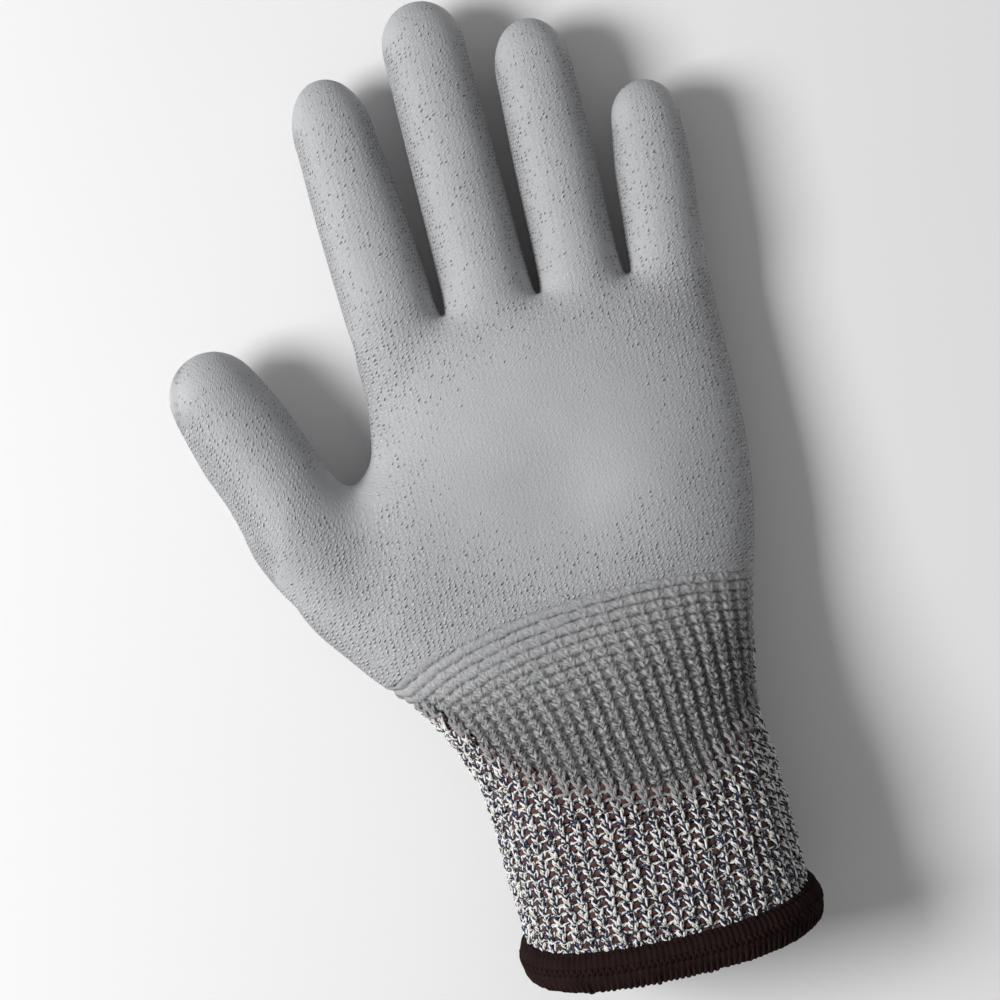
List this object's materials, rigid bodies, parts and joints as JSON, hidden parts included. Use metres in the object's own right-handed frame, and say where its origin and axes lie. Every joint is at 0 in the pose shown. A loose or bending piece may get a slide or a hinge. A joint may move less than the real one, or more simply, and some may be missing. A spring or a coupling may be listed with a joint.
{
  "type": "cut resistant glove",
  "caption": "Left-hand work glove of seamless cut-resistant knit with a coated palm and fingers, a ribbed elastic cuff and an overlocked hem, in its worn shape, with bending fingers and wrist.",
  "frame": {"origin": "under the middle of the glove, on the surface that it lies on", "axes": "+Y from the cuff to the fingertips, +Z out of the palm, +X from the thumb's side to the little finger"},
  "size_m": [0.1407, 0.2465, 0.0468],
  "materials": {
    "palm_coating": "thin matte grey polyurethane film over a fine knit",
    "coated_fold": "the same film where it creases",
    "liner_knit": "fine knit of a speckled white and navy yarn",
    "cuff_knit": "rib knit, white and navy yarn over brown",
    "elastic_yarn": "brown covered elastic yarn",
    "hem_binding": "dense brown-black overlock stitching",
    "hem_thread": "brown-black sewing thread"
  },
  "bodies": {
    "palm": {"four_finger_palm_liner": "liner_knit", "four_finger_palm_coating": "palm_coating", "five_finger_palm_liner": "liner_knit", "five_finger_palm_coating": "palm_coating", "wrist_rib_liner": "liner_knit", "wrist_rib_coating": "palm_coating"},
    "cuff": {"cuff_liner": "cuff_knit", "cuff_elastic_yarn": "elastic_yarn", "hem_overlock": "hem_binding", "hem_needle_thread": "hem_thread"},
    "index_base": {"index_base_liner": "liner_knit", "index_base_coating": "palm_coating", "index_base_fold": "coated_fold"},
    "index_middle": {"index_middle_liner": "liner_knit", "index_middle_coating": "palm_coating", "index_middle_fold": "coated_fold"},
    "index_tip": {"index_tip_liner": "liner_knit", "index_tip_coating": "palm_coating", "index_tip_fold": "coated_fold"},
    "middle_base": {"middle_base_liner": "liner_knit", "middle_base_coating": "palm_coating", "middle_base_fold": "coated_fold"},
    "middle_middle": {"middle_middle_liner": "liner_knit", "middle_middle_coating": "palm_coating", "middle_middle_fold": "coated_fold"},
    "middle_tip": {"middle_tip_liner": "liner_knit", "middle_tip_coating": "palm_coating", "middle_tip_fold": "coated_fold"},
    "ring_base": {"ring_base_liner": "liner_knit", "ring_base_coating": "palm_coating", "ring_base_fold": "coated_fold"},
    "ring_middle": {"ring_middle_liner": "liner_knit", "ring_middle_coating": "palm_coating", "ring_middle_fold": "coated_fold"},
    "ring_tip": {"ring_tip_liner": "liner_knit", "ring_tip_coating": "palm_coating", "ring_tip_fold": "coated_fold"},
    "little_base": {"little_base_liner": "liner_knit", "little_base_coating": "palm_coating", "little_base_fold": "coated_fold"},
    "little_middle": {"little_middle_liner": "liner_knit", "little_middle_coating": "palm_coating", "little_middle_fold": "coated_fold"},
    "little_tip": {"little_tip_liner": "liner_knit", "little_tip_coating": "palm_coating", "little_tip_fold": "coated_fold"},
    "thumb_base": {"thumb_base_liner": "liner_knit", "thumb_base_coating": "palm_coating", "thumb_base_fold": "coated_fold"},
    "thumb_tip": {"thumb_tip_liner": "liner_knit", "thumb_tip_coating": "palm_coating", "thumb_tip_fold": "coated_fold"}
  },
  "joints": [
    {"name": "wrist_bend", "type": "hinge", "parent": "palm", "child": "cuff", "pos_m": [0.02, -0.062, 0.0215], "axis": [1, 0, 0], "range_deg": [-45, 45], "deforming": ["wrist_rib_liner", "wrist_rib_coating"]},
    {"name": "index_fork", "type": "hinge", "parent": "palm", "child": "index_base", "pos_m": [-0.0111, 0.0482, 0.0155], "axis": [0.9966, 0.0819, 0], "range_deg": [0, 70], "deforming": ["index_base_fold"]},
    {"name": "index_middle_knuckle", "type": "hinge", "parent": "index_base", "child": "index_middle", "pos_m": [-0.01327, 0.07461, 0.0155], "axis": [0.9966, 0.0819, 0], "range_deg": [0, 72], "deforming": ["index_middle_fold"]},
    {"name": "index_tip_knuckle", "type": "hinge", "parent": "index_middle", "child": "index_tip", "pos_m": [-0.01479, 0.09305, 0.0155], "axis": [0.9966, 0.0819, 0], "range_deg": [0, 48.1], "deforming": ["index_tip_fold"]},
    {"name": "middle_fork", "type": "hinge", "parent": "palm", "child": "middle_base", "pos_m": [0.0135, 0.0482, 0.0155], "axis": [0.9996, 0.0279, 0], "range_deg": [0, 70], "deforming": ["middle_base_fold"]},
    {"name": "middle_middle_knuckle", "type": "hinge", "parent": "middle_base", "child": "middle_middle", "pos_m": [0.01266, 0.07819, 0.0155], "axis": [0.9996, 0.0279, 0], "range_deg": [0, 72], "deforming": ["middle_middle_fold"]},
    {"name": "middle_tip_knuckle", "type": "hinge", "parent": "middle_middle", "child": "middle_tip", "pos_m": [0.01205, 0.10018, 0.0155], "axis": [0.9996, 0.0279, 0], "range_deg": [0, 48.1], "deforming": ["middle_tip_fold"]},
    {"name": "ring_fork", "type": "hinge", "parent": "palm", "child": "ring_base", "pos_m": [0.0371, 0.0482, 0.0155], "axis": [1, -0.0052, 0], "range_deg": [0, 70], "deforming": ["ring_base_fold"]},
    {"name": "ring_middle_knuckle", "type": "hinge", "parent": "ring_base", "child": "ring_middle", "pos_m": [0.03724, 0.0757, 0.0155], "axis": [1, -0.0052, 0], "range_deg": [0, 72], "deforming": ["ring_middle_fold"]},
    {"name": "ring_tip_knuckle", "type": "hinge", "parent": "ring_middle", "child": "ring_tip", "pos_m": [0.03735, 0.0957, 0.0155], "axis": [1, -0.0052, 0], "range_deg": [0, 48.1], "deforming": ["ring_tip_fold"]},
    {"name": "little_fork", "type": "hinge", "parent": "palm", "child": "little_base", "pos_m": [0.0592, 0.0482, 0.0155], "axis": [0.9972, -0.075, 0], "range_deg": [0, 70], "deforming": ["little_base_fold"]},
    {"name": "little_middle_knuckle", "type": "hinge", "parent": "little_base", "child": "little_middle", "pos_m": [0.06055, 0.06615, 0.0155], "axis": [0.9972, -0.075, 0], "range_deg": [0, 72], "deforming": ["little_middle_fold"]},
    {"name": "little_tip_knuckle", "type": "hinge", "parent": "little_middle", "child": "little_tip", "pos_m": [0.06156, 0.07961, 0.0155], "axis": [0.9972, -0.075, 0], "range_deg": [0, 48.1], "deforming": ["little_tip_fold"]},
    {"name": "thumb_fork", "type": "hinge", "parent": "palm", "child": "thumb_base", "pos_m": [-0.04431, 0.00531, 0.01931], "axis": [0.8444, 0.3292, -0.4226], "range_deg": [0, 45], "deforming": ["thumb_base_fold"]},
    {"name": "thumb_knuckle", "type": "hinge", "parent": "thumb_base", "child": "thumb_tip", "pos_m": [-0.05376, 0.02953, 0.01931], "axis": [0.8444, 0.3292, -0.4226], "range_deg": [0, 60], "deforming": ["thumb_tip_fold"]}
  ],
  "couplings": [
    {"joint": "index_tip_knuckle", "follows": "index_middle_knuckle", "ratio": 0.6667},
    {"joint": "middle_tip_knuckle", "follows": "middle_middle_knuckle", "ratio": 0.6667},
    {"joint": "ring_tip_knuckle", "follows": "ring_middle_knuckle", "ratio": 0.6667},
    {"joint": "little_tip_knuckle", "follows": "little_middle_knuckle", "ratio": 0.6667}
  ]
}
